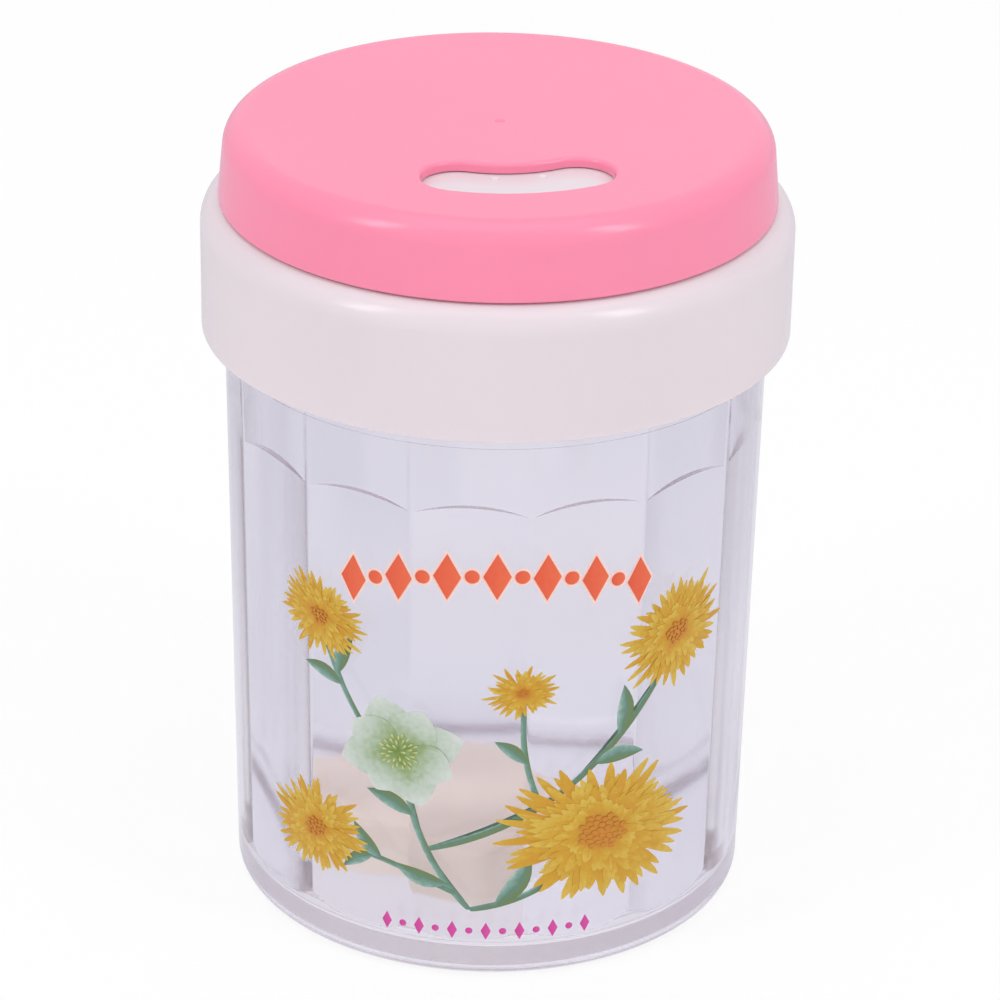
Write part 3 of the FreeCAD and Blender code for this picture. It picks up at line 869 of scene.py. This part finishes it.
for index in range(ROW_COUNT):
    share = index / (ROW_COUNT - 1)
    u = ROW_FROM + (ROW_TO - ROW_FROM) * share
    v = ROW_FOOT + ROW_RISE * 4 * share * (1 - share)
    wide, high, sides = ROW_SHAPES[index % 2]
    halos.disc(spot(u, v, 0.0, wide + HALO_RIM, high + HALO_RIM * high / wide), sides)
    beads.disc(spot(u, v, 0.0, wide, high), sides)
for index in range(DOT_COUNT):
    wide, high, sides = DOT_SHAPES[index % 2]
    dots.disc(spot(DOTS_FROM + DOT_PITCH * index, DOTS_HEIGHT, 0.0, wide, high), sides)
roll_on(halos, "bead_halos", HALO)
roll_on(beads, "orange_beads", ORANGE)
roll_on(dots, "magenta_dots", MAGENTA)

# %% [markdown]
# ## The camera
#
# The camera stands a little to the right of the front and looks down at the dispenser
# with a long lens. Its place is an aim point on the axis, a direction and a distance, so
# that each can be changed alone.

# %% Place the camera
EYE_DISTANCE, EYE_TURN, EYE_LIFT = 0.48925, math.radians(4.6), math.radians(26.213)
EYE_ROLL, AIM = math.radians(1.005), Vector((0, 0, 0.045735))
FOCAL_PIXELS, FRAME_PIXELS, SHIFT_PIXELS, SENSOR = 4259.7, 1000, 7.016, 36.0


def direction(turn, lift):
    """A direction, turned from the front about the axis and lifted off the floor."""
    return Vector((math.sin(turn) * math.cos(lift), -math.cos(turn) * math.cos(lift),
                   math.sin(lift)))


camera_data = bpy.data.cameras.new("camera")
camera_data.sensor_width = SENSOR
camera_data.lens = FOCAL_PIXELS / FRAME_PIXELS * SENSOR
camera_data.shift_x = SHIFT_PIXELS / FRAME_PIXELS
camera_data.clip_start = 0.01
camera = add("camera", camera_data)
back = direction(EYE_TURN, EYE_LIFT)
right = Vector((math.cos(EYE_TURN), math.sin(EYE_TURN), 0))
tilted = Matrix.Rotation(EYE_ROLL, 3, back)
axes = Matrix((tilted @ right, tilted @ back.cross(right), back)).transposed()
camera.matrix_world = Matrix.Translation(AIM + back * EYE_DISTANCE) @ axes.to_4x4()
bpy.context.scene.camera = camera
bpy.context.scene.view_settings.view_transform = "Standard"
print("lens in mm:", round(camera_data.lens, 1))

# %% [markdown]
# ## The light tent
#
# The floor and the sky are white to the camera. Rays that glass or gloss sends on see them
# as the pale lilac cloth of a light tent, with painted shade in its folds and at its sides.
# For the object they are a plain, even light. A shader can tell these kinds of ray apart.

# %% Weave the cloth and tell rays apart
FOLDS = 1.5


def cloth(graph, reach):
    """The tent as glass shows it: pale, with painted shade in soft folds and to either side."""
    # Painted shade: the cloth greys towards either side, and darker folds cross it.
    x = graph.node("ShaderNodeSeparateXYZ", [graph.place()])
    side = graph.node("ShaderNodeMath", [x * x, reach ** 2], operation="DIVIDE",
                      use_clamp=True)
    fold_shade = graph.noise(FOLDS / reach, 1.0)
    pale = graph.mix(fold_shade, swatch(214, 213, 225), swatch(252, 251, 255))
    return graph.mix(side, pale, swatch(203, 200, 212))


def either(graph, first, second):
    """1 where one of two shares is 1."""
    return graph.node("ShaderNodeMath", [first, second], operation="ADD", use_clamp=True)


def kinds_of_ray(graph):
    """Two shares: 1 for a ray that anything but a lit surface sends, and 1 for one that
    gloss or glass sends."""
    direct, gloss, glass = [graph.node("ShaderNodeLightPath", output=f"Is {kind} Ray")
                            for kind in ("Camera", "Glossy", "Transmission")]
    passed = either(graph, gloss, glass)
    return either(graph, direct, passed), passed


# %% [markdown]
# The floor is a wide disc of white paper that keeps a faint share of the shadows, and the
# sky is one even light from all sides.

# %% Lay the floor and hang the sky
SHADOW_SHARE, SKY_STRENGTH = 0.2, 0.74
FLOOR_R, FLOOR_STEPS, FLOOR_CLOTH, SKY_CLOTH = 2.0, 64, 0.09, 1.0


def floor_paper():
    graph = Graph(bpy.data.materials.new("floor_paper"))
    lit = graph.node("ShaderNodeBsdfDiffuse", {"Color": swatch(252, 252, 252)})
    seen, passed = kinds_of_ray(graph)
    colour = graph.mix(passed, swatch(255, 255, 255), cloth(graph, FLOOR_CLOTH))
    glow = graph.node("ShaderNodeEmission", {"Color": colour, "Strength": 1.0})
    return graph.finish(
        graph.node("ShaderNodeMixShader", [seen * (1 - SHADOW_SHARE), lit, glow]))


def studio_sky():
    graph = Graph(bpy.data.worlds.new("studio"))
    seen, passed = kinds_of_ray(graph)
    colour = graph.mix(passed, swatch(255, 255, 255), cloth(graph, SKY_CLOTH))
    return graph.finish(graph.node("ShaderNodeBackground", {
        "Color": colour, "Strength": SKY_STRENGTH + (1 - SKY_STRENGTH) * seen}))


floor_mesh = bmesh.new()
bmesh.ops.create_circle(floor_mesh, cap_ends=True, segments=FLOOR_STEPS,
                        radius=FLOOR_R)
bmesh.ops.translate(floor_mesh, vec=(0, 0, -AIR_FILM * MM), verts=floor_mesh.verts[:])
floor = as_object(floor_mesh, "floor", floor_paper())
bpy.context.scene.world = studio_sky()
print("the floor lies", AIR_FILM, "mm under the foot")

# %% [markdown]
# ## The soft boxes
#
# Two tall soft boxes, one to either side, draw the streaks on the rounded edges, and a
# wide one overhead lights the cap.

# %% Hang the soft boxes
BOX_DISTANCE, SIDE_LIFT, SIDE_SIZE, SIDE_POWER = 0.9, 42, (0.14, 0.45), 1.2
TOP_LIFT, TOP_SIZE, TOP_POWER = 86, (0.7, 0.7), 1.3


def soft_box(name, turn, lift, size, power):
    """A soft lamp that faces the object's middle, at some degrees of turn and lift."""
    data = bpy.data.lights.new(name, "AREA")
    data.shape, data.size, data.size_y, data.energy = "RECTANGLE", size[0], size[1], power
    lamp = add(name, data)
    away = direction(math.radians(turn), math.radians(lift))
    lamp.location = AIM + away * BOX_DISTANCE
    lamp.rotation_euler = away.to_track_quat("Z", "Y").to_euler()
    print(name, "hangs", round(lamp.location.z, 2), "m up")


soft_box("left_box", -52, SIDE_LIFT, SIDE_SIZE, SIDE_POWER)
soft_box("right_box", 60, SIDE_LIFT, SIDE_SIZE, SIDE_POWER)
soft_box("top_box", 0, TOP_LIFT, TOP_SIZE, TOP_POWER)

# %% [markdown]
# ## Rays in the clear walls
#
# A ray that meets the jar may cross its walls many times and run along inside them. If it
# is dropped too soon the wall looks black there, so rays are followed for longer. The
# filter that blurs such paths would leave the inside of the jar too dark, so it is off,
# and the few rays that find a lamp through the wall are held down instead.

# %% Follow rays through the clear walls
BOUNCES, BRIGHTEST = 160, 2.0
rays = bpy.context.scene.cycles
rays.max_bounces = rays.glossy_bounces = rays.transmission_bounces = BOUNCES
rays.blur_glossy = 0.0
rays.sample_clamp_indirect = BRIGHTEST
print("a ray may turn", BOUNCES, "times")
